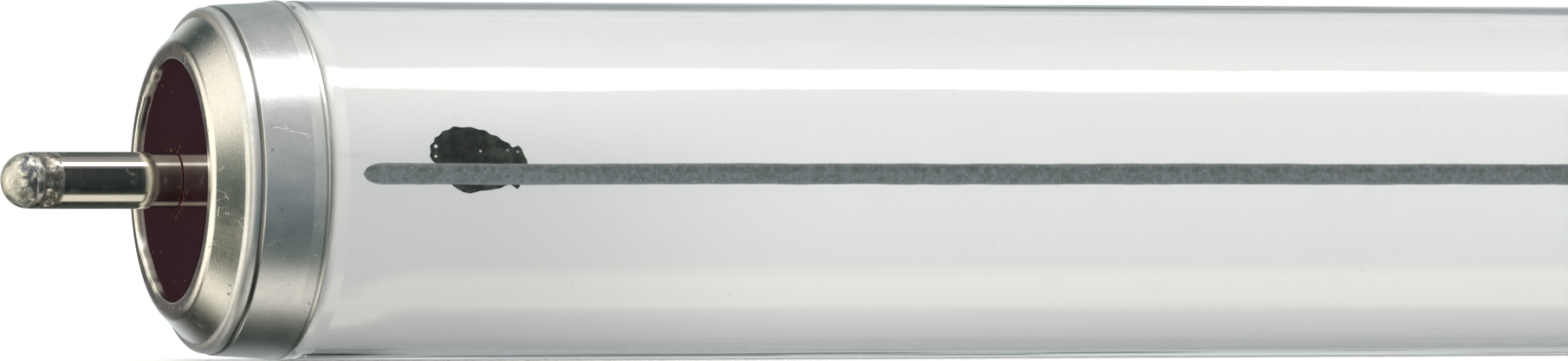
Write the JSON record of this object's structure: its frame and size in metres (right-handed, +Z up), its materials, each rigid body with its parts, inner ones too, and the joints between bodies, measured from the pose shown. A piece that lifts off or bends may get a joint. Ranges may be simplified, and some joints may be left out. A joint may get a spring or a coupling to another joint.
{
  "type": "fluorescent tube",
  "caption": "Straight white fluorescent lamp with aluminium caps, a thick single pin at each end and a grey ignition strip along the glass.",
  "frame": {"origin": "middle of the lamp, on its axis", "axes": "+X along the lamp, away from the end with the dark contact patch; +Z up as it lies; the ignition strip faces -Y"},
  "size_m": [0.611, 0.038, 0.0382],
  "materials": {
    "clear_glass": "clear, glossy",
    "phosphor": "matt white powder coat",
    "strip_paint": "matt silver grey, conducting",
    "patch_paint": "matt dark grey, resistive",
    "cap_metal": "drawn, lightly scratched",
    "dark_moulding": "glossy dark brown moulding",
    "pin_plating": "polished nickel plate",
    "solder": "dull tin solder",
    "washer_steel": "plain steel",
    "lead_wire": "nickel-plated copper wire",
    "cement": "baked basing cement"
  },
  "bodies": {
    "root": {"glass_tube": "clear_glass", "phosphor_coating": "phosphor", "ignition_strip": "strip_paint", "contact_patch": "patch_paint", "cap_shells": "cap_metal", "insulator_discs": "dark_moulding", "contact_pins": "pin_plating", "pin_solder": "solder", "rivet_washers": "washer_steel", "lead_wires": "lead_wire", "basing_cement": "cement"}
  },
  "joints": []
}
